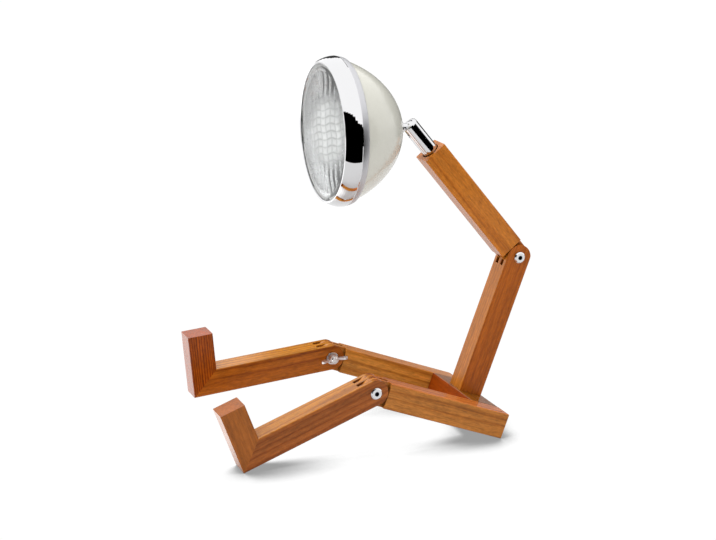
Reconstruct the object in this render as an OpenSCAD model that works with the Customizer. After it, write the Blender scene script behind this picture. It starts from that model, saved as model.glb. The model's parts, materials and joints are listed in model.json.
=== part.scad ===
// Robot-shaped desk lamp in a sitting pose: square timber limbs on
// five-finger knuckle joints, a slotted ball swivel for the neck and a
// headlamp-shaped head. Millimetres. +Z is up, the lamp looks along -Y
// and its left side is +X. The origin lies on the table, under the middle
// of the lamp's width and length.

/* [Timber limbs] */
// Side of the square timber
bar = 25; // [22:0.5:30]
// Width over both thighs
hip_width = 144; // [125:1:180]
// Depth of the hip bar, front to back
hip_depth = 31; // [29:0.5:44]
// Thigh, from its rear face to the knee axis
thigh_len = 145; // [125:1:175]
// Shin, from the knee axis to the sole
shin_len = 145; // [125:1:175]
// Torso, from the hip bar to the elbow axis
torso_len = 145; // [125:1:190]
// Upper arm, from the elbow axis to its end face
arm_len = 145; // [125:1:190]
// Foot block, from the underside of the heel to the toe
foot_len = 62; // [48:1:85]
// Flat planed on the long edges of the timber
edge = 0.7; // [0.3:0.1:1.5]

/* [Knuckle joints] */
// Free play on each side of a finger
finger_play = 0.1; // [0.05:0.05:0.3]
// Room between a rounded finger end and the shoulder it faces
shoulder_gap = 0.5; // [0.3:0.1:1.5]
// Diameter of the clamping bolts
bolt_d = 6; // [5:0.5:8]
// Radial clearance of a bolt in its holes
bolt_play = 0.08; // [0.05:0.01:0.1]
// Diameter of the bolt heads
bolt_head_d = 11.4; // [10:0.2:14]
// Height of the bolt heads
bolt_head_h = 2.6; // [2:0.2:4]
// Width across flats of the hexagon sockets
socket_af = 4; // [3:0.5:5]
// Depth of the hexagon sockets
socket_depth = 2.4; // [1.5:0.1:3]
// Diameter of the washers under the wing nuts
washer_d = 12.5; // [11:0.5:16]
// Thickness of the washers
washer_t = 1.2; // [0.8:0.1:2]
// Diameter of a wing nut's hub at its foot
nut_hub_d = 10.4; // [9.6:0.2:13]
// Height of a wing nut's hub
nut_hub_h = 6; // [5:0.5:9]
// Wing nut, tip to tip
nut_span = 28; // [22:1:36]
// Thickness of the wings
nut_wing_t = 2.2; // [1.6:0.2:3]

/* [Dowels] */
// Diameter of the dowels in the glued joints
dowel_d = 6; // [5:0.5:8]
// Length of the dowels
dowel_len = 22; // [16:1:26]
// Glue gap round a dowel, nipple or bush in the timber
glue_gap = 0.05; // [0.05:0.05:0.2]
// Distance between the two dowels of a pair
dowel_pitch = 12; // [10:0.5:13]

/* [Pose] */
// Slope of the seat: how far the thighs rise towards the knees
seat_slope = 20.5; // [14:0.5:26]
// Slope of the right shin, which stays off the table
right_slope = 5; // [0:0.5:12]
// Bend of the elbow
elbow_bend = 60; // [30:1:88]
// Turn of the neck tube in the arm
neck_turn = -1.7; // [-90:0.1:90]
// Tilt of the head from the line of the neck
head_tilt = 50.5; // [0:0.5:90]

/* [Neck] */
// Outer diameter of the neck tube
neck_d = 16; // [15:0.5:18]
// Length of the neck tube above the arm
neck_len = 36.5; // [33:0.5:48]
// Depth of the recess that the neck tube stands in
recess_depth = 8; // [5:0.5:12]
// Room round the neck tube in its recess
recess_gap = 1; // [0.5:0.1:1.5]
// Diameter of the threaded nipple that holds the neck
nipple_d = 10; // [9:0.5:10.5]
// Wall of the nipple
nipple_wall = 1.75; // [1.25:0.25:2.5]
// How deep the nipple goes into the arm
nipple_depth = 30; // [22:1:36]
// Wire passage through the ball and its stud
wire_d = 4; // [3:0.5:5]
// Running clearance of turned fits, on the radius
turn_play = 0.06; // [0.05:0.01:0.1]
// Diameter of the swivel ball
ball_d = 11.2; // [10.8:0.1:11.6]
// Room between the ball and its socket
ball_gap = 0.3; // [0.25:0.05:0.4]
// Distance of the ball's centre below the top of the tube
ball_drop = 4.5; // [4.3:0.1:6]
// Depth of the spring chamber below the ball's centre
chamber_depth = 18; // [16:0.5:20]
// Height of the stack of dished washers
spring_h = 5; // [4:0.5:6]
// Diameter of the swivel stud
stud_d = 7; // [6:0.5:7.5]
// Room of the stud in its slot, on each side
slot_gap = 0.4; // [0.3:0.1:0.8]
// How far the slot runs past the ball's centre
slot_extra = 3.8; // [2:0.2:6]
// Thickness of the collar that the bowl sits on
collar_t = 3; // [2:0.2:3.6]
// Thickness of the nut behind the bowl
nut_t = 4; // [3:0.5:5]

/* [Head] */
// Ball's centre to the back of the bowl
stud_reach = 12.5; // [12.3:0.1:18]
// Depth of the bowl, from its back to the rim
bowl_depth = 55; // [50:0.5:70]
// Diameter of the bowl where the rim meets it
bowl_d = 134.6; // [125:0.5:150]
// Half-axis of the bowl's ellipse as a multiple of its depth
bowl_fullness = 1.75; // [1.2:0.05:2.2]
// Thickness of the bowl's sheet metal
sheet = 1; // [0.8:0.1:1.6]
// Depth of the chrome rim, front to back
rim_depth = 22.5; // [18:0.5:28]
// How far the rim stands out from the bowl's edge
rim_flare = 4; // [3.4:0.1:7]
// How much the rim narrows towards its front edge, on the radius
rim_taper = 4.7; // [3:0.1:7]
// How much the rim narrows from its widest place to the seam, on the radius
rim_tuck = 1.5; // [0.5:0.1:2]
// Width of the lip that holds the lens
rim_lip = 1.8; // [1.6:0.1:3.5]
// Thickness of the rim's sheet metal
rim_t = 1.2; // [0.9:0.1:1.4]
// Thickness of the lens at its edge
lens_edge = 3.2; // [2.5:0.1:4.5]
// Height of the lens's domed front
lens_crown = 4; // [2:0.5:8]
// Width of one flute pressed into the back of the lens
flute_pitch = 4.4; // [3:0.1:8]
// Depth of the flutes
flute_depth = 0.9; // [0.4:0.1:1.5]
// Width of the gasket under the lens's edge
gasket_w = 3.5; // [2.5:0.5:6]
// Thickness of the gasket
gasket_t = 1.4; // [1:0.1:2]
// Depth of the reflector's dish
mirror_depth = 55.6; // [50:0.2:57]
// Thickness of the reflector's sheet metal
mirror_t = 0.8; // [0.5:0.1:1]
// Diameter of the lamp holder
holder_d = 20; // [17:0.5:21]
// Length of the lamp holder
holder_len = 12; // [9:0.5:14]
// Diameter of the bulb
bulb_d = 16; // [13:0.5:18]
// Length of the bulb in front of the holder
bulb_len = 24; // [18:1:30]

/* [Cord inlet] */
// Bore for the supply cord
cord_bore_d = 6.2; // [5:0.1:7]
// Outer diameter of the inlet bush in the timber
bush_d = 9; // [8.4:0.2:11]
// How deep the bush goes into the timber
bush_depth = 7; // [5:0.5:9]
// Distance of the inlet from the end of the arm
inlet_drop = 42; // [40:1:60]

/* [Hidden] */
$fn = 64;

over = 1;           // cutters reach this far past a face
seat_gap = 0.1;     // between parts that bear on each other

// Timber
half = bar / 2;
finger = bar / 5;
shoulder = half + shoulder_gap;
bolt_hole_d = bolt_d + 2 * bolt_play;

// Where the limbs go: the left heel and the rear edge of the seat touch the table
left = 1;
right = -1;
leg_x = (hip_width - bar) / 2;
knee_y = half * sin(seat_slope) - thigh_len * cos(seat_slope);
knee_z = half * cos(seat_slope) + thigh_len * sin(seat_slope);
left_slope = asin(knee_z / norm([shin_len, half])) - atan2(half, shin_len);
left_bend = seat_slope + left_slope;
right_bend = seat_slope + right_slope;
elbow_y = (bar + torso_len) * sin(seat_slope) - hip_depth / 2 * cos(seat_slope);
function toe_y(slope) = knee_y - shin_len * cos(slope) - (foot_len - half) * sin(slope);
seat_y = -(min(toe_y(left_slope), toe_y(right_slope)) + elbow_y + half) / 2;

// Neck, measured up from the end face of the arm
ball_z = neck_len - ball_drop;
chamber_z = ball_z - chamber_depth;
seat_z = chamber_z + spring_h;              // underside of the ball's seat
socket_r = ball_d / 2 + ball_gap;
mouth_r = socket_r * 0.78;                  // narrower than the ball, to hold it
nipple_top = chamber_z - 2;

// Bowl, measured forward from the ball's centre
bowl_r = bowl_d / 2;
bowl_axis = bowl_depth * bowl_fullness;
bowl_end = acos(1 - 1 / bowl_fullness);
bowl_waist = bowl_r / sin(bowl_end);
flat_r = stud_d / 2 + 4.2;                  // flat on the bowl's back for collar and nut
seam_z = stud_reach + bowl_depth;           // where the rim meets the bowl

// Rim and lens
face_z = seam_z + rim_depth;
ridge_z = seam_z + rim_depth / 3;           // widest place of the rim
rim_r = bowl_r + rim_flare;
rim_inner_r = rim_r - rim_t;
face_r = rim_r - rim_taper;
lens_r = face_r - rim_t - 0.2;
lens_front_z = face_z - rim_t - seat_gap;   // front of the lens's edge, under the lip
lens_z = lens_front_z - lens_edge;          // back of the lens

// Reflector and lamp holder
mirror_r = lens_r - gasket_w;
flange_z = lens_z - gasket_t - mirror_t;    // back of the reflector's flange
mirror_z = flange_z - mirror_depth;
hole_r = holder_d / 2 + 0.4;
holder_flange_t = 1.2;
holder_z = mirror_z + mirror_depth * pow(hole_r / mirror_r, 2) - holder_flange_t - seat_gap;
holder_front_z = holder_z + holder_len;
pin_x = 2.6;                                // half the distance of the bulb's pins

// Colours
light_wood = [0.78, 0.50, 0.26];
warm_wood = [0.66, 0.38, 0.17];
dark_wood = [0.52, 0.28, 0.13];
bright_metal = [0.86, 0.87, 0.88];
plain_steel = [0.58, 0.59, 0.61];
brass = [0.80, 0.66, 0.36];
black_rubber = [0.11, 0.11, 0.11];

// ---------------------------------------------------------------- places

module at_seat() {
    translate([0, seat_y, 0]) rotate([-seat_slope, 0, 0]) children();
}

// The knee axis, with the shin running along -Y
module at_knee(side, bend) {
    at_seat() translate([side * leg_x, -thigh_len, half]) rotate([bend, 0, 0]) children();
}

module at_left_knee() { at_knee(left, left_bend) children(); }

module at_right_knee() { at_knee(right, right_bend) children(); }

// The elbow axis, with the torso running down
module at_elbow() {
    at_seat() translate([0, -hip_depth / 2, bar + torso_len]) children();
}

// The end face of the arm, with the neck running along +Z
module at_arm_end() {
    at_elbow() rotate([elbow_bend, 0, 0]) translate([0, 0, arm_len]) children();
}

module at_neck() { at_arm_end() rotate([0, 0, neck_turn]) children(); }

// The ball's centre, with the head looking along +Z
module at_head() { at_neck() translate([0, 0, ball_z]) rotate([head_tilt, 0, 0]) children(); }

// Where the hip bar meets a thigh
module at_hip_joint(side) {
    at_seat() translate([side * (hip_width / 2 - bar), -hip_depth / 2, half])
        rotate([0, 90, 0]) children();
}

// Where the torso stands on the hip bar, with the dowels side by side
module at_waist() {
    at_seat() translate([0, -hip_depth / 2, bar]) rotate([0, 0, 90]) children();
}

// The mitre of a shin and its foot, with the knee at the origin and the shin along +Z
module at_mitre() {
    translate([0, 0, shin_len - half]) rotate([-45, 0, 0]) rotate([0, 0, 90]) children();
}

// The cord inlet in the arm's back face, +Z pointing out of the bore
module at_inlet() {
    at_arm_end() translate([0, half, -inlet_drop]) rotate([-90, 0, 0]) children();
}

// ---------------------------------------------------------------- timber

// Section of a planed bar
module section(w, d) {
    a = w / 2;
    b = d / 2;
    polygon([[edge - a, -b], [a - edge, -b], [a, edge - b], [a, b - edge],
             [a - edge, b], [edge - a, b], [-a, b - edge], [-a, edge - b]]);
}

// Extrudes a side view, drawn as [Y, Z], across the width of a bar
module across() {
    rotate([90, 0, 90]) linear_extrude(bar + 2 * over, center = true) children();
}

// A bar along +Z whose rounded end turns about the X axis through the origin
module knuckled_bar(len) {
    intersection() {
        translate([0, 0, -half]) linear_extrude(half + len) section(bar, bar);
        across() {
            circle(r = half);
            translate([-half, 0]) square([bar, len]);
        }
    }
}

// Cuts the listed fingers, of five, away from a knuckled end
module finger_cuts(list) {
    for (i = list) {
        from = i == 0 ? -half - over : i * finger - half - finger_play;
        to = i == 4 ? half + over : (i + 1) * finger - half + finger_play;
        translate([from, -half - over, -half - over])
            cube([to - from, bar + 2 * over, half + over + shoulder]);
    }
}

module bolt_hole() {
    rotate([0, 90, 0]) cylinder(d = bolt_hole_d, h = bar + 2 * over, center = true);
}

// Outer and middle fingers, as on the shins and the torso
module fork(len) {
    difference() {
        knuckled_bar(len);
        finger_cuts([1, 3]);
        bolt_hole();
    }
}

// The two fingers between them, as on the thighs and the arm
module tongue(len) {
    difference() {
        knuckled_bar(len);
        finger_cuts([0, 2, 4]);
        bolt_hole();
    }
}

// A pair of dowels across the XY plane, spread along Y, or the holes for them
module dowel_pair(gap = 0) {
    for (s = [-1, 1])
        translate([0, s * dowel_pitch / 2, 0])
            cylinder(d = dowel_d + 2 * gap, h = dowel_len + 4 * gap, center = true, $fn = 32);
}

module thigh(side) {
    color(warm_wood)
    difference() {
        at_seat() translate([side * leg_x, -thigh_len, half]) rotate([-90, 0, 0])
            tongue(thigh_len);
        at_hip_joint(side) dowel_pair(glue_gap);
    }
}

module left_thigh() { thigh(left); }

module right_thigh() { thigh(right); }

module hip_bar() {
    color(warm_wood)
    difference() {
        at_seat() translate([0, -hip_depth / 2, half]) rotate([0, 90, 0])
            linear_extrude(hip_width - 2 * bar, center = true) section(bar, hip_depth);
        for (side = [left, right]) at_hip_joint(side) dowel_pair(glue_gap);
        at_waist() dowel_pair(glue_gap);
    }
}

module hip_dowels() {
    color(light_wood)
    for (side = [left, right]) at_hip_joint(side) dowel_pair();
}

module torso() {
    color(dark_wood)
    difference() {
        at_elbow() rotate([180, 0, 0]) fork(torso_len);
        at_waist() dowel_pair(glue_gap);
    }
}

module torso_dowels() { color(light_wood) at_waist() dowel_pair(); }

// A shin with the knee at the origin, running along +Z to its mitre
module shin_wood() {
    difference() {
        intersection() {
            fork(shin_len);
            across()
                polygon([[-half, -half], [half, -half], [half, shin_len - bar], [-half, shin_len]]);
        }
        at_mitre() dowel_pair(glue_gap);
    }
}

// The foot block that turns up from the same mitre
module foot_wood() {
    toe = foot_len - half;
    difference() {
        intersection() {
            translate([0, -half, shin_len - half]) rotate([-90, 0, 0])
                linear_extrude(foot_len) section(bar, bar);
            across()
                polygon([[half, shin_len - bar], [toe, shin_len - bar],
                         [toe, shin_len], [-half, shin_len]]);
        }
        at_mitre() dowel_pair(glue_gap);
    }
}

module left_shin() { color(dark_wood) at_left_knee() rotate([90, 0, 0]) shin_wood(); }

module right_shin() { color(dark_wood) at_right_knee() rotate([90, 0, 0]) shin_wood(); }

module left_foot() { color(warm_wood) at_left_knee() rotate([90, 0, 0]) foot_wood(); }

module right_foot() { color(warm_wood) at_right_knee() rotate([90, 0, 0]) foot_wood(); }

module left_foot_dowels() {
    color(light_wood) at_left_knee() rotate([90, 0, 0]) at_mitre() dowel_pair();
}

module right_foot_dowels() {
    color(light_wood) at_right_knee() rotate([90, 0, 0]) at_mitre() dowel_pair();
}

// The arm is bored from its end for the neck and its wires, and from its
// back face for the cord inlet
module upper_arm() {
    wire_bore_d = nipple_d - 2 * nipple_wall;
    color(warm_wood)
    difference() {
        at_elbow() rotate([elbow_bend, 0, 0]) tongue(arm_len);
        at_arm_end() {
            translate([0, 0, -recess_depth])
                cylinder(d = neck_d + 2 * recess_gap, h = recess_depth + over);
            translate([0, 0, -nipple_depth])
                cylinder(d = nipple_d + 2 * glue_gap, h = nipple_depth);
            translate([0, 0, -inlet_drop])
                cylinder(d = wire_bore_d, h = inlet_drop - nipple_depth + over);
        }
        at_inlet() translate([0, 0, -half])
            cylinder(d = bush_d + 2 * glue_gap, h = half + over);
    }
}

// ---------------------------------------------------------------- clamps

// A knuckle's bolt axis as +Z, with the bolt head on the given side
module on_bolt(side) { rotate([0, side * 90, 0]) children(); }

// Button-head bolt: its head sits on the timber at +Z, its point takes the nut
module bolt() {
    tip = half + washer_t + nut_hub_h + 1;
    point = bolt_d * 0.13;
    head_r = bolt_head_d / 2;
    crown = bolt_head_h * 0.4;
    color(bright_metal)
    difference() {
        rotate_extrude()
            polygon([[0, -tip], [bolt_d / 2 - point, -tip], [bolt_d / 2, point - tip],
                     [bolt_d / 2, half], [head_r, half],
                     [head_r, half + bolt_head_h - crown],
                     [head_r - crown, half + bolt_head_h], [0, half + bolt_head_h]]);
        translate([0, 0, half + bolt_head_h - socket_depth])
            cylinder(d = socket_af / cos(30), h = socket_depth + over, $fn = 6);
    }
}

module washer() {
    color(bright_metal)
    translate([0, 0, -half - washer_t])
        difference() {
            cylinder(d = washer_d, h = washer_t);
            translate([0, 0, -over]) cylinder(d = bolt_hole_d, h = washer_t + 2 * over);
        }
}

// Side view of the pair of wings, rising from the hub towards round tips
module wing_outline() {
    tip_r = nut_hub_h * 0.45;
    reach = nut_span / 2 - tip_r;
    diagonal = tip_r * 0.7;
    for (s = [-1, 1]) {
        translate([s * reach, nut_hub_h]) circle(r = tip_r, $fn = 32);
        polygon([[0, nut_hub_h * 0.1], [s * nut_hub_d * 0.45, nut_hub_h * 0.1],
                 [s * (reach + diagonal), nut_hub_h - diagonal],
                 [s * (reach - diagonal), nut_hub_h + diagonal],
                 [s * nut_hub_d * 0.35, nut_hub_h * 0.8], [0, nut_hub_h * 0.8]]);
    }
}

// A wing nut below a knuckle, its wings along the limb
module wing_nut() {
    color(bright_metal)
    translate([0, 0, -half - washer_t - seat_gap]) rotate([180, 0, 0])
        difference() {
            union() {
                cylinder(d1 = nut_hub_d, d2 = nut_hub_d * 0.85, h = nut_hub_h);
                rotate([90, 0, 90])
                    linear_extrude(nut_wing_t, center = true) wing_outline();
            }
            translate([0, 0, -over]) cylinder(d = bolt_hole_d, h = 2 * nut_hub_h);
        }
}

module elbow_bolt() { at_elbow() on_bolt(left) bolt(); }

module elbow_washer() { at_elbow() on_bolt(left) washer(); }

module elbow_wing_nut() { at_elbow() on_bolt(left) rotate([0, 0, 90]) wing_nut(); }

module left_knee_bolt() { at_left_knee() on_bolt(left) bolt(); }

module left_knee_washer() { at_left_knee() on_bolt(left) washer(); }

module left_knee_wing_nut() { at_left_knee() on_bolt(left) wing_nut(); }

module right_knee_bolt() { at_right_knee() on_bolt(right) bolt(); }

module right_knee_washer() { at_right_knee() on_bolt(right) washer(); }

module right_knee_wing_nut() { at_right_knee() on_bolt(right) wing_nut(); }

// ---------------------------------------------------------------- neck

// The threaded nipple, glued into the arm, that the neck tube turns on
module neck_nipple() {
    len = nipple_depth + nipple_top;
    color(brass)
    at_arm_end() translate([0, 0, -nipple_depth])
        difference() {
            cylinder(d = nipple_d, h = len);
            translate([0, 0, -over])
                cylinder(d = nipple_d - 2 * nipple_wall, h = len + 2 * over);
        }
}

// Bush glued into the arm's back face, flush with the timber
module cord_bush() {
    color(black_rubber)
    at_inlet() translate([0, 0, -bush_depth])
        difference() {
            cylinder(d = bush_d, h = bush_depth);
            translate([0, 0, -over]) cylinder(d = cord_bore_d, h = bush_depth + 2 * over);
        }
}

// Turned tube with a bore for the nipple, a chamber for the springs and the
// seat, a round socket for the ball, and a slot that lets the stud lie over
module neck_tube() {
    r = neck_d / 2;
    foot_z = seat_gap - recess_depth;
    foot_edge = 0.5;
    round_r = 2.2;
    lip_z = ball_z + sqrt(pow(socket_r, 2) - pow(mouth_r, 2));
    top = [for (a = [0:30:90])
        [r - round_r * (1 - cos(a)), neck_len - round_r * (1 - sin(a))]];
    color(bright_metal)
    at_neck()
        difference() {
            rotate_extrude()
                polygon(concat([[0, foot_z], [r - foot_edge, foot_z], [r, foot_z + foot_edge]],
                               top, [[0, neck_len]]));
            translate([0, 0, foot_z - over])
                cylinder(d = nipple_d + 2 * turn_play, h = chamber_z - foot_z + 2 * over);
            translate([0, 0, chamber_z]) cylinder(r = socket_r, h = ball_z - chamber_z);
            translate([0, 0, ball_z]) sphere(r = socket_r);
            translate([0, 0, lip_z - over]) cylinder(r = mouth_r, h = ball_drop + over);
            ball_slot();
        }
}

// The slot, open at the tube's top, in the side that the head leans to
module ball_slot() {
    w = stud_d + 2 * slot_gap;
    translate([0, 0, ball_z - slot_extra]) {
        rotate([90, 0, 0]) cylinder(d = w, h = neck_d);
        translate([-w / 2, -neck_d, 0]) cube([w, neck_d, neck_len]);
    }
}

// A stack of dished washers that presses the seat against the ball
module disc_springs() {
    count = 4;
    rise = spring_h / count;
    t = 0.5;
    outer = socket_r - 0.1;
    inner = wire_d / 2 + 0.8;
    color(plain_steel)
    at_neck()
        for (i = [0:count - 1])
            translate([0, 0, chamber_z + (i + i % 2) * rise]) mirror([0, 0, i % 2])
                rotate_extrude()
                    polygon([[outer - t, 0], [outer, 0], [outer, t],
                             [inner + t, rise], [inner, rise], [inner, rise - t]]);
}

// Brass cup that the ball rests in, low enough for the stud to lie level above it
module ball_seat() {
    rim_drop = stud_d / 2 + 0.8;
    color(brass)
    at_neck()
        difference() {
            translate([0, 0, seat_z]) cylinder(r = socket_r - 0.05, h = ball_z - rim_drop - seat_z);
            translate([0, 0, ball_z]) sphere(r = socket_r);
            translate([0, 0, chamber_z]) cylinder(d = wire_d + 1.6, h = chamber_depth);
        }
}

// Ball, stud and the collar that the bowl sits on, turned in one piece
module ball_stud() {
    r = stud_d / 2 + 3;
    front_z = stud_reach - seat_gap;
    back_z = front_z - collar_t;
    end_z = stud_reach + sheet + nut_t + 1.5;
    color(bright_metal)
    at_head()
        difference() {
            union() {
                sphere(d = ball_d);
                cylinder(d = stud_d, h = end_z);
                rotate_extrude()
                    polygon([[0, back_z], [r - 0.6, back_z], [r, back_z + 0.6],
                             [r, front_z - 0.4], [r - 0.4, front_z], [0, front_z]]);
            }
            translate([0, 0, -ball_d]) cylinder(d = wire_d, h = ball_d + end_z + over);
        }
}

module stud_nut() {
    color(plain_steel)
    at_head() translate([0, 0, stud_reach + sheet + seat_gap])
        difference() {
            cylinder(d = (stud_d + 6) / cos(30), h = nut_t, $fn = 6);
            translate([0, 0, -over]) cylinder(d = stud_d, h = nut_t + 2 * over);
        }
}

// ---------------------------------------------------------------- head

// The bowl's ellipse, from its back at 0 to the seam at 1, set in by a distance
function bowl_point(t, inset) = let(u = t * bowl_end)
    [(bowl_waist - inset) * sin(u), stud_reach + bowl_axis - (bowl_axis - inset) * cos(u)];

// Inside of the bowl at a given distance from its axis
function bowl_inner_z(r) = stud_reach + bowl_axis
    - (bowl_axis - sheet) * sqrt(1 - pow(r / (bowl_waist - sheet), 2));

// Sheet-metal bowl with a flat for the stud and a beaded edge under the rim
module head_shell() {
    steps = 26;
    start = asin(flat_r / bowl_waist) / bowl_end;
    first = (1 - start) / steps;
    outer = [for (i = [1:steps]) bowl_point(start + first * i, 0)];
    inner = [for (i = [steps:-1:1]) bowl_point(start + first * i, sheet)];
    bead_r = rim_inner_r - rim_tuck;
    bead = [[bowl_r, seam_z + 1.4], [bead_r, seam_z + 3],
            [bead_r, seam_z + 3 + sheet], [bowl_r - sheet, seam_z + 2.2]];
    color([0.93, 0.91, 0.84])
    at_head()
        difference() {
            rotate_extrude($fn = 96)
                polygon(concat([[0, stud_reach], [flat_r, stud_reach]], outer, bead, inner,
                               [[flat_r, stud_reach + sheet], [0, stud_reach + sheet]]));
            cylinder(d = stud_d + 2 * turn_play, h = 2 * stud_reach);
        }
}

// The rim's side from its widest place to the front, on the radius and up to a height
function rim_curve(r, top_z, t) = [r - rim_taper * t * t, ridge_z + (top_z - ridge_z) * t];

// The rim's side from a height near the seam, at 0, to just behind the widest place, at 1
function rim_back(r, low_z, t) = [r - 0.4 - rim_tuck * pow(1 - t, 2),
                                  low_z + (ridge_z - 0.8 - low_z) * t];

// Spun rim: rear lip behind the bowl's bead, wide ridge, and front lip over the lens
module chrome_rim() {
    steps = 8;
    back_steps = 5;
    back = [for (i = [0:back_steps]) rim_back(rim_r, seam_z + 0.5, i / back_steps)];
    back_inner = [for (i = [back_steps:-1:0])
        rim_back(rim_inner_r, seam_z + rim_t, i / back_steps)];
    outer = [for (i = [0:steps]) rim_curve(rim_r, face_z, i / steps)];
    inner = [for (i = [steps:-1:0]) rim_curve(rim_inner_r, face_z - rim_t, i / steps)];
    lip_r = face_r - rim_lip;
    rear_r = bowl_r + 0.3;
    color(bright_metal)
    at_head()
        rotate_extrude($fn = 96)
            polygon(concat(
                [[rear_r, seam_z], [back[0].x - 0.6, seam_z]], back, outer,
                [[face_r - 0.6, face_z + 0.3], [lip_r, face_z - 0.2], [lip_r, face_z - rim_t]],
                inner, back_inner, [[rear_r, seam_z + rim_t]]));
}

// Pressed glass, domed in front and fluted behind
module lens() {
    steps = 12;
    dome_r = face_r - rim_lip - 0.4;
    dome = [for (i = [steps:-1:0]) let(t = i / steps)
        [dome_r * t, lens_front_z + lens_crown * (1 - t * t)]];
    fluted_r = mirror_r - 1;
    count = floor(fluted_r / flute_pitch);
    color([0.85, 0.9, 0.92, 0.5])
    at_head() {
        rotate_extrude($fn = 96)
            polygon(concat([[0, lens_z], [lens_r, lens_z], [lens_r, lens_front_z]], dome));
        intersection() {
            translate([0, 0, lens_z - flute_depth]) cylinder(r = fluted_r, h = lens_edge, $fn = 96);
            for (i = [-count:count]) translate([i * flute_pitch, 0, lens_z]) flute();
        }
    }
}

// One upright rib with a rounded back, rooted in the glass
module flute() {
    root = 0.2;
    w = flute_pitch / 2 - 0.15;
    rotate([90, 0, 0])
        linear_extrude(2 * mirror_r, center = true)
            polygon([for (a = [0:30:180]) [w * cos(a), root - (flute_depth + root) * sin(a)]]);
}

module lens_gasket() {
    color(black_rubber)
    at_head() translate([0, 0, lens_z - gasket_t])
        difference() {
            cylinder(r = lens_r, h = gasket_t, $fn = 96);
            translate([0, 0, -over]) cylinder(r = mirror_r, h = gasket_t + 2 * over, $fn = 96);
        }
}

// Spun parabolic mirror: it rests on the holder's flange and under the gasket
module reflector() {
    steps = 16;
    function dish(i, lift) = let(r = hole_r + (mirror_r - hole_r) * i / steps)
        [r, mirror_z + mirror_depth * pow(r / mirror_r, 2) + lift];
    color([0.9, 0.91, 0.93])
    at_head()
        rotate_extrude($fn = 96)
            polygon(concat(
                [for (i = [0:steps]) dish(i, mirror_t)],
                [[lens_r, flange_z + mirror_t], [lens_r, flange_z]],
                [for (i = [steps:-1:0]) dish(i, 0)]));
}

// Spring clips that press the reflector's flange forward and grip the rim's inside
module rim_clips() {
    count = 4;
    arc = 14;
    t = 0.9;
    top_z = flange_z - 0.05;
    tail_z = top_z - 3.4;
    along = (top_z - ridge_z) / (face_z - rim_t - ridge_z);
    grip_r = rim_curve(rim_inner_r, face_z - rim_t, along).x - 0.1;
    color(plain_steel)
    at_head()
        for (i = [0:count - 1])
            rotate([0, 0, 45 + i * 360 / count])
                rotate_extrude(angle = arc, $fn = 96)
                    polygon([[lens_r - 2.2, top_z], [grip_r, top_z], [grip_r, tail_z],
                             [grip_r - t, tail_z], [grip_r - t, top_z - t],
                             [lens_r - 2.2, top_z - t]]);
}

// Hat-shaped pressing, welded to the back of the bowl, that carries the lamp holder
module holder_bracket() {
    r = (stud_d + 6) / sqrt(3) + 5;
    t = 1;
    foot_z = bowl_inner_z(r) + seat_gap;
    height = holder_z - foot_z;
    color(plain_steel)
    at_head() translate([0, 0, foot_z])
        difference() {
            cylinder(r = r, h = height);
            translate([0, 0, -over]) cylinder(r = r - t, h = height - t + over);
            cylinder(d = wire_d + 4, h = height + over);
        }
}

// Ceramic holder with a flange and two pin holes
module lamp_holder() {
    pin_depth = 6;
    color([0.95, 0.94, 0.9])
    at_head() translate([0, 0, holder_z])
        difference() {
            union() {
                cylinder(d = holder_d, h = holder_len);
                cylinder(d = holder_d + 4, h = holder_flange_t);
            }
            for (s = [-1, 1])
                translate([s * pin_x, 0, holder_len - pin_depth])
                    cylinder(d = 2.4, h = pin_depth + over, $fn = 24);
        }
}

// Capsule lamp with a frosted dome and two pins
module bulb() {
    r = bulb_d / 2;
    base_h = 5;
    pin_len = 5;
    color([0.97, 0.96, 0.9])
    at_head() translate([0, 0, holder_front_z]) {
        rotate_extrude()
            polygon(concat([[0, seat_gap], [r - 1, seat_gap], [r - 1, base_h], [r, base_h + 1]],
                           [for (a = [0:15:90]) [r * cos(a), bulb_len - r + r * sin(a)]]));
        for (s = [-1, 1])
            translate([s * pin_x, 0, -pin_len])
                cylinder(d = 1.6, h = pin_len + seat_gap + over, $fn = 24);
    }
}

left_thigh();
right_thigh();
hip_bar();
hip_dowels();
torso();
torso_dowels();
elbow_bolt();
elbow_washer();
elbow_wing_nut();
left_shin();
left_foot();
left_foot_dowels();
left_knee_bolt();
left_knee_washer();
left_knee_wing_nut();
right_shin();
right_foot();
right_foot_dowels();
right_knee_bolt();
right_knee_washer();
right_knee_wing_nut();
upper_arm();
neck_nipple();
cord_bush();
neck_tube();
disc_springs();
ball_seat();
ball_stud();
stud_nut();
head_shell();
holder_bracket();
lamp_holder();
bulb();
reflector();
lens_gasket();
lens();
rim_clips();
chrome_rim();
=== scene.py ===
import json
import math

import bpy
import numpy as np
from mathutils import Matrix, Vector


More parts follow.
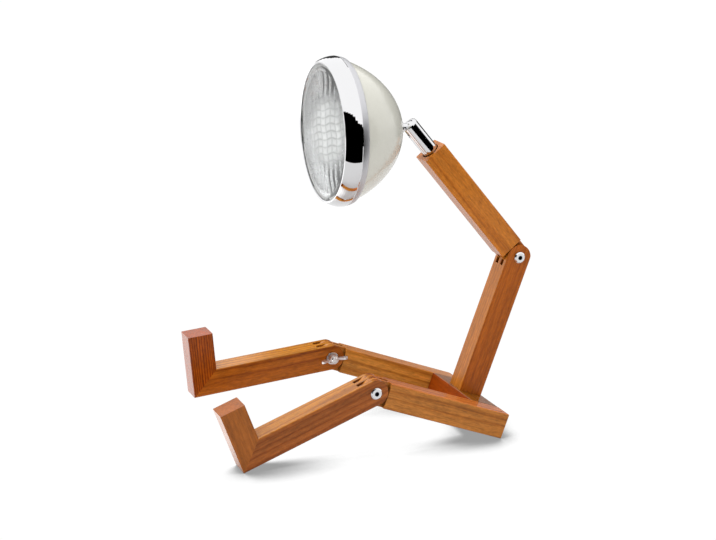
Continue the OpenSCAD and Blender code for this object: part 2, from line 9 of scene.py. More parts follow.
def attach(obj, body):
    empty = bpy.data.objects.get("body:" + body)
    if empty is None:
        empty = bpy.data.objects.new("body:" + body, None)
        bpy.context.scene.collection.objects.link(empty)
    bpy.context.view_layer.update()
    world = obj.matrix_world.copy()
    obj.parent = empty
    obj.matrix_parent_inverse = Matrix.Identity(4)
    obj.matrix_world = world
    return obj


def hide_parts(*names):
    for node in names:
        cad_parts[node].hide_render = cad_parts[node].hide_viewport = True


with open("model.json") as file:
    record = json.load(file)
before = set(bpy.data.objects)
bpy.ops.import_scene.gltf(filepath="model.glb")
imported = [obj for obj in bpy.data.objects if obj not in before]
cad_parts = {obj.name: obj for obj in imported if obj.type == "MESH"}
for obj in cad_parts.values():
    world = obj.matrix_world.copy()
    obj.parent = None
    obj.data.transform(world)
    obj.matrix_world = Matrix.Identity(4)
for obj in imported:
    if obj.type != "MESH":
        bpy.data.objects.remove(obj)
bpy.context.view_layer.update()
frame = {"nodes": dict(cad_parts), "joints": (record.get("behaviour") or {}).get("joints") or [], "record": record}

# ------------------------------------------------------------------ camera
# A long lens stands to the front left of the sitting lamp, a little above
# its head, and looks down on it.
AZIMUTH = math.radians(68.746)
ELEVATION = math.radians(14.751)
ROLL = math.radians(0.075)
CAMERA_PLACE = (1.56183, -0.61589, 0.60560)
FOCAL_MM = 90.10
SENSOR_MM = 36.0
NEAREST, FURTHEST = 0.05, 60.0

camera = bpy.data.objects.new("camera", bpy.data.cameras.new("camera"))
camera.data.sensor_width = SENSOR_MM
camera.data.lens = FOCAL_MM
camera.data.clip_start = NEAREST
camera.data.clip_end = FURTHEST
camera.matrix_world = (
    Matrix.Translation(CAMERA_PLACE)
    @ Matrix.Rotation(AZIMUTH, 4, "Z")
    @ Matrix.Rotation(math.pi / 2 - ELEVATION, 4, "X")
    @ Matrix.Rotation(ROLL, 4, "Z")
)
bpy.context.scene.collection.objects.link(camera)
bpy.context.scene.camera = camera
bpy.context.scene.view_settings.view_transform = "Standard"


# ------------------------------------------------------------------ studio
# A wide white floor in a white room that is brightest in front of the lamp
# on its right, with a large soft light overhead. Black cards on the camera's
# side and behind the lamp keep the floor out of its chrome, as in a studio.
WHITE = (1, 1, 1, 1)
FLOOR_HALF = 9.0
FLOOR_COLOR = (0.62, 0.62, 0.62, 1)

# The camera sees the floor as a glow with a painted soft shadow. The shadow is full where the lower
# share of the sky is open and gone at the higher share, and its tone runs between the two strengths.
SHADOW_REACH = 0.055
SHADOW_LEAN = (-0.60, -0.10, 0.80)
SHADOW_SKY = (0.50, 0.76)
SHADOW_TONE = (0.34, 1.02)
SHADOW_SAMPLES = 16

# Mirrors also see a patch of floor that glows for them alone, a painted reflection; its edges
# fade in from the first place to the second
GLOW_PATCH_EDGES = (("X", 0.08, 0.0), ("X", -0.85, -0.65), ("Y", -0.05, -0.13))

# Card in front of the lamp's left side, as (y, z) on a plane across X
CARD_X = 0.20
SIDE_CARD = (
    (-0.70, 0.08), (-0.25, 0.140), (-0.18, 0.155), (-0.109, 0.168), (-0.043, 0.178),
    (0.42, 0.190), (0.42, 0.36), (0.00, 0.365), (-0.036, 0.372), (-0.053, 0.399),
    (-0.095, 0.425), (-0.167, 0.457), (-0.275, 0.502), (-0.333, 0.526), (-0.70, 0.60),
)
SIDE_CARD_SHADE = 0.0

# Card across the view behind the lamp: its distance, its left and right end, its height
BACK_DISTANCE = 1.0
BACK_SPAN = (-0.22, 1.3)
BACK_HEIGHT = 0.80
BACK_CARD_SHADE = 0.05

SOFTBOX_SIDE = 1.6
SOFTBOX_PLACE = (-0.45, -0.20, 1.9)
SOFTBOX_WATTS = 5.0

# Strength of the room in mirrors, and its dark part, low down on the lamp's left
SURROUND = 1.26
DARK_SIDE = 0.03
DARK_TOP = math.sin(math.radians(17))
DARK_FADE = 0.02
DARK_FROM, DARK_FULL = 0.30, 0.36

# Strength of the room on matt surfaces, by how far it lies toward the bright direction
FILL_FROM = (-0.45, -0.50, 0.74)
FILL_TURN = (-0.4, 0.6)
DIM_FILL, BRIGHT_FILL = 0.26, 1.70

# Strength of the room through the lens
THROUGH_GLASS = 2.1


def linked(name, points, faces):
    """A mesh object at the origin from a list of points and a list of faces."""
    mesh = bpy.data.meshes.new(name)
    mesh.from_pydata([tuple(map(float, point)) for point in points], [], faces)
    mesh.update()
    piece = bpy.data.objects.new(name, mesh)
    bpy.context.scene.collection.objects.link(piece)
    return piece


def plug(source, socket):
    """Links an output to a socket, or sets the socket to a constant."""
    if isinstance(source, bpy.types.NodeSocket):
        socket.id_data.links.new(source, socket)
    else:
        socket.default_value = source


def plug_all(shader, **sources):
    """Plugs a source into each named socket of a shader, with underscores for spaces."""
    for name, source in sources.items():
        plug(source, shader.inputs[name.replace("_", " ")])


def node(tree, kind, *sources, out=0, **settings):
    """Adds a node and gives one of its outputs. The sources fill its first sockets in turn; the
    settings name its modes and its other sockets."""
    made = tree.nodes.new("ShaderNode" + kind)
    for name, value in settings.items():
        if hasattr(made, name):
            setattr(made, name, value)
        else:
            plug(value, made.inputs[name.replace("_", " ")])
    for source, socket in zip(sources, made.inputs):
        plug(source, socket)
    return made.outputs[out]


def ramp(tree, source, low, high, at_low=0.0, at_high=1.0):
    """The source, carried from its low and high value to a new pair and held beyond them."""
    return node(tree, "MapRange", source, low, high, at_low, at_high)


def blend(tree, share, first, second):
    """The first colour where the share is nought, the second where it is one."""
    mix = node(tree, "Mix", share, data_type="RGBA").node
    plug(first, mix.inputs[6])
    plug(second, mix.inputs[7])
    return mix.outputs[2]


def new_finish(name):
    """A material with its node tree and its shader."""
    material = bpy.data.materials.new(name)
    material.use_nodes = True
    return material, material.node_tree, material.node_tree.nodes["Principled BSDF"]


def studio_card(name, points, shade):
    """A flat matt card that only mirrors and coats see."""
    card = linked(name, points, [range(len(points))])
    paper, tree, shader = new_finish(name + "_paper")
    plug_all(shader, Base_Color=(shade, shade, shade, 1), Specular_IOR_Level=0.0)
    card.data.materials.append(paper)
    card.visible_camera = card.visible_diffuse = card.visible_shadow = False
    card.visible_transmission = False


floor = linked(
    "floor",
    [(x * FLOOR_HALF, y * FLOOR_HALF, 0) for x, y in ((-1, -1), (1, -1), (1, 1), (-1, 1))],
    [(0, 1, 2, 3)],
)
pale_floor, tree, shader = new_finish("pale_floor")
rays = node(tree, "LightPath").node.outputs
spot = node(tree, "SeparateXYZ", node(tree, "TexCoord", out="Object")).node.outputs
glow_patch = rays["Is Glossy Ray"]
for axis, off, full in GLOW_PATCH_EDGES:
    glow_patch = node(tree, "Math", ramp(tree, spot[axis], off, full), glow_patch, operation="MULTIPLY")
plug_all(
    shader, Base_Color=FLOOR_COLOR, Roughness=1.0, Specular_IOR_Level=0.0,
    Emission_Color=WHITE, Emission_Strength=glow_patch,
)
# Painted shadow: to the camera the floor glows, dimmer where little sky is open near it
open_sky = node(
    tree, "AmbientOcclusion", out="AO", samples=SHADOW_SAMPLES, Distance=SHADOW_REACH,
    Normal=node(tree, "CombineXYZ", *SHADOW_LEAN),
)
floor_painted_shadow = node(tree, "Emission", Strength=ramp(tree, open_sky, *SHADOW_SKY, *SHADOW_TONE))
by_eye = node(tree, "MixShader", rays["Is Camera Ray"], shader.outputs[0], floor_painted_shadow)
plug(by_eye, tree.nodes["Material Output"].inputs["Surface"])
floor.data.materials.append(pale_floor)

studio_card("side_card", [(CARD_X, y, z) for y, z in SIDE_CARD], SIDE_CARD_SHADE)

away = Vector((-math.sin(AZIMUTH), math.cos(AZIMUTH), 0))
aside = Vector((math.cos(AZIMUTH), math.sin(AZIMUTH), 0))
studio_card(
    "back_card",
    [
        away * BACK_DISTANCE + aside * BACK_SPAN[end] + Vector((0, 0, z))
        for end, z in ((0, 0), (1, 0), (1, BACK_HEIGHT), (0, BACK_HEIGHT))
    ],
    BACK_CARD_SHADE,
)

softbox = bpy.data.objects.new("softbox", bpy.data.lights.new("softbox", "AREA"))
softbox.data.shape = "SQUARE"
softbox.data.size = SOFTBOX_SIDE
softbox.data.energy = SOFTBOX_WATTS
softbox.matrix_world = Matrix.Translation(SOFTBOX_PLACE)
softbox.visible_glossy = False
bpy.context.scene.collection.objects.link(softbox)

world = bpy.data.worlds.new("studio")
bpy.context.scene.world = world
world.use_nodes = True
room = world.node_tree
room.nodes.clear()
rays = node(room, "LightPath").node.outputs
direction = node(room, "TexCoord", out="Generated")
parts = node(room, "SeparateXYZ", direction).node.outputs
low_down = ramp(room, parts["Z"], DARK_TOP + DARK_FADE, DARK_TOP - DARK_FADE)
on_left = ramp(room, parts["X"], DARK_FROM, DARK_FULL)
dark_part = node(room, "Math", low_down, on_left, operation="MULTIPLY")
mirrored = ramp(room, dark_part, 0, 1, SURROUND, DARK_SIDE)
toward = node(room, "VectorMath", direction, FILL_FROM, out="Value", operation="DOT_PRODUCT")
filling = ramp(room, toward, *FILL_TURN, DIM_FILL, BRIGHT_FILL)
strength = mirrored
for ray, other in (("Is Diffuse Ray", filling), ("Is Transmission Ray", THROUGH_GLASS)):
    strength = node(room, "Mix", data_type="FLOAT", Factor=rays[ray], A=strength, B=other)
surround = node(room, "Background", WHITE, strength)
backdrop = node(room, "Background", WHITE)
seen = node(room, "MixShader", rays["Is Camera Ray"], surround, backdrop)
plug(seen, room.nodes.new("ShaderNodeOutputWorld").inputs["Surface"])

# ------------------------------------------------------------ timber limbs
# Legs, seat, torso and arm are planed from 25 mm square hardwood, jointed
# with cut fingers and glued mitres, and oiled to a warm orange brown. The
# grain runs along each limb, so every limb has its own turn of the pattern.
JOINT = {joint["name"]: joint for joint in frame["joints"]}
MOUNT = {mount["name"]: mount for mount in frame["record"]["mounts"]}
SIDE = np.array((1.0, 0.0, 0.0))

# Half the timber's thickness, the foot's tip above the shin's middle line, and how far from a
# limb's middle the painted light or shade tint of its face starts and is full
HALF_BAR = 0.0125
FOOT_TIP = 0.0495
PAINTED_FACE_FROM = (HALF_BAR - 0.0006, HALF_BAR - 0.0001)

LIGHT_WOOD = (0.640, 0.215, 0.032, 1)
MID_WOOD = (0.480, 0.135, 0.014, 1)
DARK_WOOD = (0.200, 0.045, 0.005, 1)
PORE_WOOD = (0.090, 0.020, 0.004, 1)

# One year's growth, from its middle tone to its dark late wood and back
YEAR = ((0.12, LIGHT_WOOD), (0.50, LIGHT_WOOD), (0.74, MID_WOOD), (0.90, DARK_WOOD))

# Each noise, and how far the wood draws it out: the last number is along the limb
FIBRES_DRAWN = (1, 1, 0.055)
RINGS_DRAWN = (1, 1, 0.02)
FLECKS_DRAWN = (1, 1, 0.3)
WAVE = {"Scale": 55.0, "Detail": 2.0, "Roughness": 0.5}
CLOUD = {"Scale": 45.0, "Detail": 3.0, "Roughness": 0.55}
FLECK = {"Scale": 520.0, "Detail": 3.0, "Roughness": 0.6}
FIBRE = {"Scale": 620.0, "Detail": 4.0, "Roughness": 0.65}
PORE = {"Scale": 1700.0, "Detail": 1.0}
RING_SWAY = 2.6
FLECK_SHARE = 0.5
FIBRE_SHARE = 0.36
TONES_FROM = (0.35, 0.65)
PORES_FROM = (0.62, 0.72)

# Spread of the tones and strength of the pores: the least, and what full figure adds
TONE_SPREAD = (0.34, 0.22)
PORE_STRENGTH = (0.15, 0.5)

# Painted shade: the wood darkens in gaps, such as between the fingers, where little sky is open
GAP_REACH = 0.010
GAP_SKY = (0.15, 0.60)
GAP_SHADE_TONE = 0.30
GAP_SAMPLES = 8

OIL_ROUGHNESS = (0.40, 0.60)
FIBRE_RELIEF = 0.00006


def unit(vector):
    """The vector at length one."""
    return np.asarray(vector, float) / np.linalg.norm(vector)


def quarter_turn(vector):
    """The vector turned a quarter about the lamp's left-right axis."""
    return np.cross(SIDE, vector)


def growth_rings(tree, limb, drawn, ring, figure):
    """Cylinders round the heart line: the distance from it over the ring width, plus a slow wave,
    runs through one year's colours again and again. Figure is the rings' share over the middle
    tone."""
    flat = node(tree, "VectorMath", limb, RINGS_DRAWN, operation="MULTIPLY")
    reach = node(tree, "VectorMath", flat, out="Value", operation="LENGTH")
    wave = node(tree, "TexNoise", drawn, **WAVE)
    sway = node(tree, "Math", wave, RING_SWAY, operation="MULTIPLY")
    rings = node(tree, "Math", reach, 1 / ring, sway, operation="MULTIPLY_ADD")
    growth = node(tree, "ValToRGB", node(tree, "Math", rings, operation="FRACT"))
    stops = growth.node.color_ramp.elements
    stops[0].color = stops[1].color = MID_WOOD
    for position, color in YEAR:
        stops.new(position).color = color
    return blend(tree, 1 - figure, growth, MID_WOOD)


def fibres_and_tone(tree, limb, drawn, figure):
    """The noise of the fibres, and a tone round one that mixes slow clouds, short flecks and the
    fibres."""
    fibre = node(tree, "TexNoise", drawn, **FIBRE)
    cloud = node(tree, "TexNoise", drawn, **CLOUD)
    short = node(tree, "VectorMath", limb, FLECKS_DRAWN, operation="MULTIPLY")
    fleck = node(tree, "TexNoise", short, **FLECK)
    clouded = node(tree, "Mix", data_type="FLOAT", Factor=FLECK_SHARE, A=cloud, B=fleck)
    mixed = node(tree, "Mix", data_type="FLOAT", Factor=FIBRE_SHARE, A=clouded, B=fibre)
    spread = TONE_SPREAD[0] + TONE_SPREAD[1] * figure
    return fibre, ramp(tree, mixed, *TONES_FROM, 1 - spread, 1 + spread)


def tint_with_painted_face(tree, place, tint, middle, face, painted_face_tint):
    """A tint for the whole limb, and a painted light or shade tint where a point lies nearly half a
    bar from the middle toward the face."""
    off_middle = node(tree, "VectorMath", place, middle, operation="SUBTRACT")
    height = node(tree, "VectorMath", off_middle, face, out="Value", operation="DOT_PRODUCT")
    return blend(tree, ramp(tree, height, *PAINTED_FACE_FROM), (*tint, 1), (*painted_face_tint, 1))


def oiled_timber(name, along, heart, ring, figure, tint, middle, face, painted_face_tint):
    """Rings, tone and tint multiplied, with open pores over them, painted shade in gaps and a coat of
    oil; the tint holds painted light or shade on one face. The pattern's own third axis is the heart
    line, which passes the given point along the limb."""
    material, tree, shader = new_finish(name)
    place = node(tree, "TexCoord", out="Object")
    turn = Vector(along).to_track_quat("Z", "X").to_euler()
    limb = node(tree, "Mapping", place, vector_type="TEXTURE", Location=heart, Rotation=turn)
    drawn = node(tree, "VectorMath", limb, FIBRES_DRAWN, operation="MULTIPLY")
    rings = growth_rings(tree, limb, drawn, ring, figure)
    fibre, tone = fibres_and_tone(tree, limb, drawn, figure)
    toned = node(tree, "VectorMath", rings, operation="SCALE", Scale=tone)
    tint_and_painted_face = tint_with_painted_face(tree, place, tint, middle, face, painted_face_tint)
    tinted = node(tree, "VectorMath", toned, tint_and_painted_face, operation="MULTIPLY")
    pore = node(tree, "TexNoise", drawn, **PORE)
    depth = PORE_STRENGTH[0] + PORE_STRENGTH[1] * figure
    open_pore = ramp(tree, pore, *PORES_FROM, 0, depth)
    pored = blend(tree, open_pore, tinted, PORE_WOOD)
    sky = node(tree, "AmbientOcclusion", out="AO", samples=GAP_SAMPLES, Distance=GAP_REACH)
    gap_shade = ramp(tree, sky, *GAP_SKY, GAP_SHADE_TONE, 1)
    relief = node(tree, "Math", fibre, open_pore, operation="SUBTRACT")
    plug_all(
        shader,
        Base_Color=node(tree, "VectorMath", pored, operation="SCALE", Scale=gap_shade),
        Roughness=ramp(tree, fibre, 0, 1, *OIL_ROUGHNESS),
        Normal=node(tree, "Bump", Height=relief, Strength=0.25, Distance=FIBRE_RELIEF),
        Specular_IOR_Level=0.05, Coat_Weight=0.80, Coat_IOR=1.30, Coat_Roughness=0.20,
    )
    return material


def dress(material, *node_names):
    """Gives a finish to CAD nodes that keep their shape."""
    for node_name in node_names:
        slots = frame["nodes"][node_name].data.materials
        slots.clear()
        slots.append(material)


torso_dir = -unit(MOUNT["seat"]["axis"])
thigh_dir = quarter_turn(-torso_dir)
left_shin_dir = unit(MOUNT["left_sole"]["axis"])
right_shin_dir = unit(MOUNT["right_sole"]["axis"])
left_foot_dir = quarter_turn(-left_shin_dir)
right_foot_dir = quarter_turn(-right_shin_dir)
arm_dir = unit(JOINT["neck_turn"]["axis"])
left_knee = np.array(JOINT["left_knee"]["pos_m"])
right_knee = np.array(JOINT["right_knee"]["pos_m"])
elbow = np.array(JOINT["elbow"]["pos_m"])
left_toe = left_knee + (FOOT_TIP - HALF_BAR) * left_foot_dir
right_toe = right_knee + (FOOT_TIP - HALF_BAR) * right_foot_dir

# Each limb: name, grain direction, heart, ring width, figure and tint, then the middle, face and tint of its
# painted light or shade
for limb_name, along, heart, ring, figure, tint, middle, face, painted_face_tint in (
    ("left_thigh", thigh_dir, (0.020, 0.010, 0.000), 0.0060, 0.45, (0.94, 1.10, 1.46),
     left_knee, torso_dir, (1.21, 1.10, 1.35)),
    ("right_thigh", thigh_dir, (-0.100, 0.012, 0.030), 0.0050, 0.50, (1.04, 1.30, 1.59),
     right_knee, torso_dir, (1.11, 1.30, 1.74)),
    ("hip_bar", SIDE, (0.000, 0.300, 0.020), 0.0052, 0.35, (0.49, 0.25, 0.05),
     left_knee, torso_dir, (0.48, 0.51, 0.22)),
    ("torso", torso_dir, (0.048, 0.060, 0.000), 0.0044, 0.22, (0.79, 0.65, 0.27),
     elbow, -thigh_dir, (0.86, 0.94, 0.69)),
    ("left_shin", left_shin_dir, (0.105, 0.030, 0.020), 0.0058, 0.40, (0.65, 0.60, 0.86),
     left_knee, left_foot_dir, (0.88, 1.06, 0.68)),
    ("right_shin", right_shin_dir, (-0.115, -0.010, 0.060), 0.0048, 0.50, (0.76, 0.65, 0.36),
     right_knee, right_foot_dir, (0.93, 1.11, 0.45)),
    ("left_foot", left_foot_dir, (0.100, -0.190, 0.000), 0.0080, 0.12, (0.70, 0.73, 1.03),
     left_toe, left_foot_dir, (0.66, 0.59, 0.25)),
    ("right_foot", right_foot_dir, (-0.020, -0.190, 0.000), 0.0019, 0.95, (0.56, 0.33, 0.06),
     right_toe, right_foot_dir, (0.61, 0.32, 0.03)),
    ("upper_arm", arm_dir, (-0.055, 0.200, 0.150), 0.0050, 0.35, (1.05, 1.11, 1.01),
     elbow, quarter_turn(arm_dir), (1.05, 1.11, 1.01)),
):
    wood = oiled_timber(
        limb_name + "_wood", along, heart, ring, figure, tint, middle, face, painted_face_tint
    )
    dress(wood, limb_name)

# ------------------------------------------------------------------ dowels
# Beech dowels with a dry, pale face hold the glued mitres and the waist.
# They lie inside the timber and show only if the lamp is taken apart.


def speckled(name, low, high, scale, roughness, relief, stretch=(1, 1, 1), metal=0.0):
    """A finish whose colour, roughness and height run from low to high with one noise, which is
    drawn out by a stretch on each axis."""
    material, tree, shader = new_finish(name)
    place = node(tree, "TexCoord", out="Object")
    drawn = node(tree, "Mapping", place, Scale=stretch)
    noise = node(tree, "TexNoise", drawn, Scale=scale, Detail=3.0, Roughness=0.6)
    plug_all(
        shader,
        Base_Color=blend(tree, noise, (*low, 1), (*high, 1)),
        Roughness=ramp(tree, noise, 0, 1, *roughness),
        Normal=node(tree, "Bump", Height=noise, Strength=0.3, Distance=relief),
        Metallic=metal,
    )
    return material


beech = speckled(
    "beech_dowel", low=(0.44, 0.28, 0.14), high=(0.58, 0.40, 0.22),
    scale=500.0, roughness=(0.55, 0.75), relief=0.0001, stretch=(0.1, 1, 1),
)
dress(beech, "hip_dowels", "torso_dowels", "left_foot_dowels", "right_foot_dowels")

# ------------------------------------------------------------------ clamps
# Each knuckle is clamped by a button-head bolt, a washer and a wing nut, all
# nickel plated: the turned heads are bright, the cast wings softer.
BOLT_STEEL = {
    "low": (0.72, 0.72, 0.73), "high": (0.82, 0.82, 0.83),
    "scale": 900.0, "roughness": (0.12, 0.24), "relief": 0.00002, "metal": 1.0,
}
# Colour of the painted shade in the bolt's socket
SOCKET_SHADE_COLOR = (0.010, 0.010, 0.012, 1)

# The socket is painted dark as shade: its half width and soft edge, how far out from the knuckle's
# middle the bolt's head starts, and what keeps only a point's distance from the bolt's axis
SOCKET_R = 0.0021
SOCKET_EDGE = 0.0003
HEAD_FROM = 0.005
OFF_AXIS = (0, 1, 1)

bright_steel = speckled("bolt_steel", **BOLT_STEEL)
dress(bright_steel, "left_knee_washer", "right_knee_washer", "elbow_washer")


def socketed_bolt(joint_name, head_side):
    """The bright steel with painted shade in the socket: nearer the bolt's axis than the socket's half
    width and on the head's side of the joint."""
    material = speckled(joint_name + "_bolt_steel", **BOLT_STEEL)
    tree = material.node_tree
    base = tree.nodes["Principled BSDF"].inputs["Base Color"]
    place = node(tree, "TexCoord", out="Object")
    from_joint = node(
        tree, "VectorMath", place, JOINT[joint_name]["pos_m"], operation="SUBTRACT"
    )
    across = node(tree, "VectorMath", from_joint, OFF_AXIS, operation="MULTIPLY")
    reach = node(tree, "VectorMath", across, out="Value", operation="LENGTH")
    near_axis = ramp(tree, reach, SOCKET_R + SOCKET_EDGE, SOCKET_R)
    sideways = node(tree, "SeparateXYZ", from_joint, out="X")
    outward = node(tree, "Math", sideways, head_side, operation="MULTIPLY")
    in_head = node(tree, "Math", outward, HEAD_FROM, operation="GREATER_THAN")
    socket_shade = node(tree, "Math", near_axis, in_head, operation="MULTIPLY")
    plug(blend(tree, socket_shade, base.links[0].from_socket, SOCKET_SHADE_COLOR), base)
    return material


for joint_name, head_side in (("left_knee", 1), ("right_knee", -1), ("elbow", 1)):
    dress(socketed_bolt(joint_name, head_side), joint_name + "_bolt")

cast_nickel = speckled(
    "cast_nickel", low=(0.78, 0.78, 0.79), high=(0.90, 0.90, 0.91),
    scale=420.0, roughness=(0.24, 0.40), relief=0.00008, metal=1.0,
)
dress(cast_nickel, "left_knee_wing_nut", "right_knee_wing_nut", "elbow_wing_nut")

# -------------------------------------------------------------------- neck
# The slotted tube, the ball with its stud and collar are turned and chrome
# plated. The nipple and the ball's seat are brass, the springs plain steel.
chrome = speckled(
    "chrome_plate", low=(0.70, 0.70, 0.71), high=(0.74, 0.74, 0.75),
    scale=60.0, roughness=(0.02, 0.06), relief=0.000002, metal=1.0,
)
dress(chrome, "neck_tube", "ball_stud")
turned_brass = speckled(
    "turned_brass", low=(0.62, 0.42, 0.17), high=(0.78, 0.56, 0.26),
    scale=300.0, roughness=(0.18, 0.32), relief=0.00002, metal=1.0,
)
dress(turned_brass, "neck_nipple", "ball_seat")
plain_steel = speckled(
    "plain_steel", low=(0.42, 0.42, 0.43), high=(0.58, 0.58, 0.59),
    scale=350.0, roughness=(0.28, 0.45), relief=0.00004, metal=1.0,
)
dress(plain_steel, "disc_springs", "stud_nut", "rim_clips", "holder_bracket")
black_plastic = speckled(
    "black_bush", low=(0.012, 0.012, 0.012), high=(0.030, 0.030, 0.030),
    scale=1500.0, roughness=(0.40, 0.55), relief=0.00004,
)
dress(black_plastic, "cord_bush")

# ------------------------------------------------------------ rim and bowl
# The headlamp bowl is spun from sheet and sprayed in warm white enamel. The
# chrome rim is polished in front of its ridge and satin on the rolled edge
# behind it, where the polishing wheel doesn't reach.
# How far the rim's ridge lies ahead of the swivel ball, and over what length the polish fades
RIDGE = 0.0743
RIDGE_FADE = 0.0006
SATIN_CHROME, POLISHED_CHROME = (0.62, 0.62, 0.64, 1), (0.72, 0.72, 0.73, 1)
SATIN, POLISHED = 0.46, 0.03
ENAMEL_COAT, ENAMEL_COAT_ROUGHNESS = 0.25, 0.06

ball = np.array(JOINT["head_tilt"]["pos_m"])
look = unit(JOINT["head_twist"]["axis"])
rim_chrome, tree, shader = new_finish("rim_chrome")
place = node(tree, "TexCoord", out="Object")
from_ball = node(tree, "VectorMath", place, ball, operation="SUBTRACT")
ahead = node(tree, "VectorMath", from_ball, look, out="Value", operation="DOT_PRODUCT")
before_ridge = ramp(tree, ahead, RIDGE - RIDGE_FADE, RIDGE)
plug_all(
    shader,
    Base_Color=blend(tree, before_ridge, SATIN_CHROME, POLISHED_CHROME),
    Roughness=ramp(tree, ahead, RIDGE - RIDGE_FADE, RIDGE, SATIN, POLISHED),
    Metallic=1.0,
)
dress(rim_chrome, "chrome_rim")

enamel = speckled(
    "ivory_enamel", low=(0.70, 0.69, 0.61), high=(0.74, 0.73, 0.65),
    scale=260.0, roughness=(0.16, 0.26), relief=0.00003,
)
plug_all(
    enamel.node_tree.nodes["Principled BSDF"],
    Coat_Weight=ENAMEL_COAT, Coat_Roughness=ENAMEL_COAT_ROUGHNESS,
)
dress(enamel, "head_shell")

# ------------------------------------------------- lamp holder, bulb, mirror
# A glazed ceramic holder carries a frosted capsule bulb in the middle of a
# spun mirror, whose flange presses a pale rubber ring against the lens.
ceramic = speckled(
    "glazed_ceramic", low=(0.70, 0.68, 0.62), high=(0.78, 0.76, 0.70),
    scale=500.0, roughness=(0.20, 0.32), relief=0.00002,
)
dress(ceramic, "lamp_holder")
frosted = speckled(
    "frosted_bulb", low=(0.86, 0.86, 0.84), high=(0.94, 0.94, 0.92),
    scale=1800.0, roughness=(0.35, 0.50), relief=0.00002,
)
dress(frosted, "bulb")
mirror = speckled(
    "spun_mirror", low=(0.84, 0.84, 0.85), high=(0.90, 0.90, 0.91),
    scale=90.0, roughness=(0.22, 0.34), relief=0.00002, metal=1.0,
)
dress(mirror, "reflector")
rubber = speckled(
    "pale_rubber", low=(0.58, 0.58, 0.57), high=(0.66, 0.66, 0.65),
    scale=900.0, roughness=(0.55, 0.75), relief=0.00004,
)
dress(rubber, "lens_gasket")

# -------------------------------------------------------------------- lens
# Pressed clear glass with a smooth domed front. Its back has upright flutes,
# which are broken into rows of pillow prisms across the middle.
# Half widths of the lens, of its dome and of its patterned back, how far its back and the edge
# of its front lie ahead of the swivel ball, the dome's height, and the edge's bevel
LENS_R = 0.0652
LENS_DOME_R = 0.0643
LENS_FLUTED_R = 0.0580
LENS_BACK = 0.0855
LENS_FRONT = 0.0887
LENS_CROWN = 0.0038
LENS_BEVEL = 0.0003

# The grid: points round it, rings of the back and of the dome, the first ring of the back, how
# far the last one lies past the pattern, and the dome's last ring as a share of its half width
LENS_TURNS = 560
LENS_ROWS = 140
DOME_ROWS = 24
LENS_HOLE = 0.0004
BACK_MARGIN = 0.0002
DOME_HOLE = 0.01

# The pattern is turned in the rim, and its lines sway by a first length over a second one
PATTERN_TURN = math.radians(13)
X_SWAY = (0.0011, 0.0041)
Y_SWAY = (0.0008, 0.0052)

# Flutes, their share of the depth outside the pillows, and how the pattern ends at the border
FLUTE_PITCH = 0.0125
FLUTE_DEPTH = 0.00060
FLUTE_SHARE = 0.25
BORDER_FADE = 0.0012

# Pillows, and the oval that they fill: half its size, how far it lies aside, where it ends and
# over what share of its size it fades
PRISM_WIDTH = 0.0125
PRISM_HEIGHT = 0.0068
PRISM_ZONE = (0.044, 0.031)
PRISM_ASIDE = 0.011
PRISM_END = 1.25
PRISM_FADE = 0.55

# Painted shade: how far the glass greys along the rows, the columns and the flutes, in odd
# pillows, and everywhere outside the oval
ROW_LINE = 0.55
COLUMN_LINE = 0.40
FLUTE_LINE = 0.12
PILLOW_SHADE = 0.24
PILLOW_STEPS = (7.3, 3.1)
OUTER_SHADE = 0.70

# Share of the glass that is frosted outside the oval, and what the oval adds
FROST_LEAST, FROST_ADDED = 0.06, 0.79
# Clear glass, and the grey of the painted shade on the pattern
CLEAR_GLASS, GLASS_SHADE_GREY = (0.98, 0.99, 0.985, 1), (0.20, 0.21, 0.21, 1)
GLASS_IOR = 1.5
GLASS_ROUGHNESS = 0.04

head_left = unit(JOINT["head_tilt"]["axis"])
head_up = np.cross(look, head_left)


def turned_glass(name, points, material):
    """A closed mesh object at the origin from rows of rings: quads join each ring to the next, and
    a fan of triangles round a centre of its own closes each end."""
    rows, columns, _ = points.shape
    row, column = np.meshgrid(np.arange(rows - 1), np.arange(columns), indexing="ij")
    right = (column + 1) % columns
    corners = (row * columns + column, row * columns + right,
               (row + 1) * columns + right, (row + 1) * columns + column)
    quads = np.stack(corners, -1).reshape(-1, 4)
    here = np.arange(columns)
    after = (here + 1) % columns
    first, last = rows * columns, rows * columns + 1
    end = (rows - 1) * columns
    fans = np.vstack([np.stack([np.full(columns, first), after, here], -1),
                      np.stack([np.full(columns, last), end + here, end + after], -1)])
    loops = np.concatenate([quads.ravel(), fans.ravel()])
    counts = np.concatenate([np.full(len(quads), 4), np.full(len(fans), 3)])
    flat = np.vstack([points.reshape(-1, 3), points[0].mean(0), points[-1].mean(0)])

    mesh = bpy.data.meshes.new(name)
    mesh.vertices.add(len(flat))
    mesh.vertices.foreach_set("co", flat.astype(np.float32).ravel())
    mesh.loops.add(len(loops))
    mesh.loops.foreach_set("vertex_index", loops.astype(np.int32))
    mesh.polygons.add(len(counts))
    mesh.polygons.foreach_set("loop_start", (np.cumsum(counts) - counts).astype(np.int32))
    mesh.update(calc_edges=True)
    mesh.polygons.foreach_set("use_smooth", np.full(len(counts), True))
    mesh.validate()
    mesh.materials.append(material)
    piece = bpy.data.objects.new(name, mesh)
    bpy.context.scene.collection.objects.link(piece)
    return piece


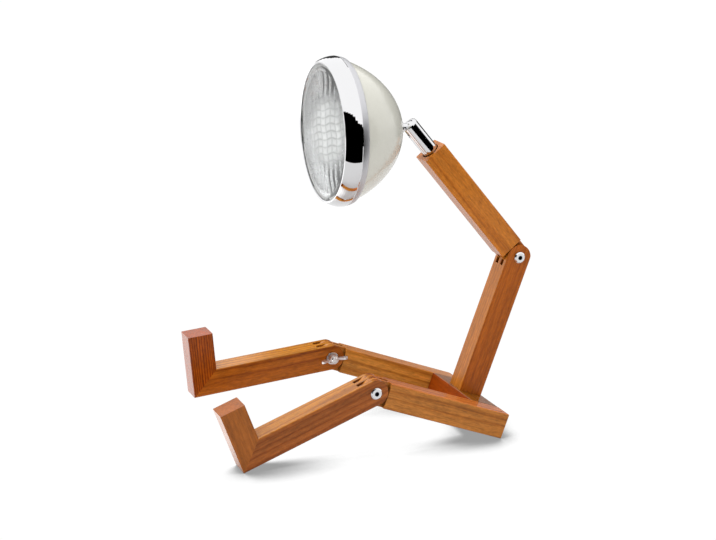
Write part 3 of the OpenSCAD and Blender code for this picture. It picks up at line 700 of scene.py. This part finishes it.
def pressed(x, y):
    """Three fields of the pattern at a point of the lens, after the turn and the sway. Depth is a
    half sine across each flute, and in the oval the product of half sines across and up each
    pillow; it fades out before the clear border. Middle falls from one to nought at the oval's
    edge. Groove shade, a painted shade in the grey of the glass, grows with the square of the
    nearness to a line and with a squared sine of the pillow's number, and also lies outside the oval."""
    cosine, sine = math.cos(PATTERN_TURN), math.sin(PATTERN_TURN)
    x, y = x * cosine + y * sine, y * cosine - x * sine
    x, y = (x + X_SWAY[0] * np.sin(y / X_SWAY[1]),
            y + Y_SWAY[0] * np.sin(x / Y_SWAY[1]))
    flutes = np.abs(np.sin(np.pi * x / FLUTE_PITCH))
    rows = np.abs(np.sin(np.pi * y / PRISM_HEIGHT))
    columns = np.abs(np.sin(np.pi * x / PRISM_WIDTH))
    reach = np.hypot((x - PRISM_ASIDE) / PRISM_ZONE[0], y / PRISM_ZONE[1])
    middle = np.clip((PRISM_END - reach) / PRISM_FADE, 0, 1)
    border = np.clip((LENS_FLUTED_R - np.hypot(x, y)) / BORDER_FADE, 0, 1)
    share = FLUTE_SHARE * flutes * (1 - middle) + rows * columns * middle
    depth = FLUTE_DEPTH * border * share
    across, up = np.floor(x / PRISM_WIDTH), np.floor(y / PRISM_HEIGHT)
    pillow = across * PILLOW_STEPS[0] + up * PILLOW_STEPS[1]
    lines = np.maximum(ROW_LINE * (1 - rows) ** 2, COLUMN_LINE * (1 - columns) ** 2)
    outer = OUTER_SHADE + FLUTE_LINE * (1 - flutes) ** 2
    groove_shade = border * (middle * lines + PILLOW_SHADE * middle * np.sin(pillow) ** 2
                       + (1 - middle) * outer)
    return depth, middle, groove_shade


def lens_fields():
    """Rows of rings, and at each point the frosted share and the painted groove shade: the pressed
    back from the middle out, the edge with its bevels, and the dome from its edge in, whose height
    falls with the square of the distance from the middle. Only the back is frosted or shaded."""
    back_r = np.linspace(LENS_HOLE, LENS_FLUTED_R + BACK_MARGIN, LENS_ROWS)
    edge_r = (LENS_R - LENS_BEVEL, LENS_R, LENS_R, LENS_R - LENS_BEVEL)
    dome_r = LENS_DOME_R * np.linspace(1, DOME_HOLE, DOME_ROWS)
    radii = np.concatenate([back_r, edge_r, dome_r])[:, None]
    turn = np.linspace(0, 2 * np.pi, LENS_TURNS, endpoint=False)
    x, y = radii * np.cos(turn), radii * np.sin(turn)
    depth, middle, groove_shade = pressed(x, y)
    z = np.full_like(x, LENS_BACK)
    z[:LENS_ROWS] -= depth[:LENS_ROWS]
    z[LENS_ROWS + 1] = LENS_BACK + LENS_BEVEL
    z[LENS_ROWS + 2] = LENS_FRONT - LENS_BEVEL
    z[LENS_ROWS + 3] = LENS_FRONT
    z[LENS_ROWS + 4:] = LENS_FRONT + LENS_CROWN * (1 - (dome_r / LENS_DOME_R)[:, None] ** 2)
    frosting = FROST_LEAST + FROST_ADDED * middle
    frosting[LENS_ROWS:] = groove_shade[LENS_ROWS:] = 0
    points = ball + x[..., None] * head_left + y[..., None] * head_up + z[..., None] * look
    return points, frosting, groove_shade


glass, tree, shader = new_finish("pressed_glass")
frosted_share = node(tree, "Attribute", out="Fac", attribute_name="frosting")
painted_groove_shade = node(tree, "Attribute", out="Fac", attribute_name="groove_shade")
ripple = node(tree, "TexNoise", node(tree, "TexCoord", out="Object"), Scale=220.0, Detail=2.0)
plug_all(
    shader,
    Transmission_Weight=ramp(tree, frosted_share, 0, 1, 1, 0),
    Base_Color=blend(tree, painted_groove_shade, CLEAR_GLASS, GLASS_SHADE_GREY),
    Roughness=ramp(tree, ripple, 0, 1, 0.0, GLASS_ROUGHNESS),
    IOR=GLASS_IOR,
)

points, frosting, groove_shade = lens_fields()
lens = turned_glass("pressed_lens", points, glass)
for field_name, field in (("frosting", frosting), ("groove_shade", groove_shade)):
    at_centres = (field[0, 0], 0)
    attribute = lens.data.attributes.new(field_name, "FLOAT", "POINT")
    attribute.data.foreach_set("value", np.append(field, at_centres).astype(np.float32))
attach(lens, "head")
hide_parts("lens")
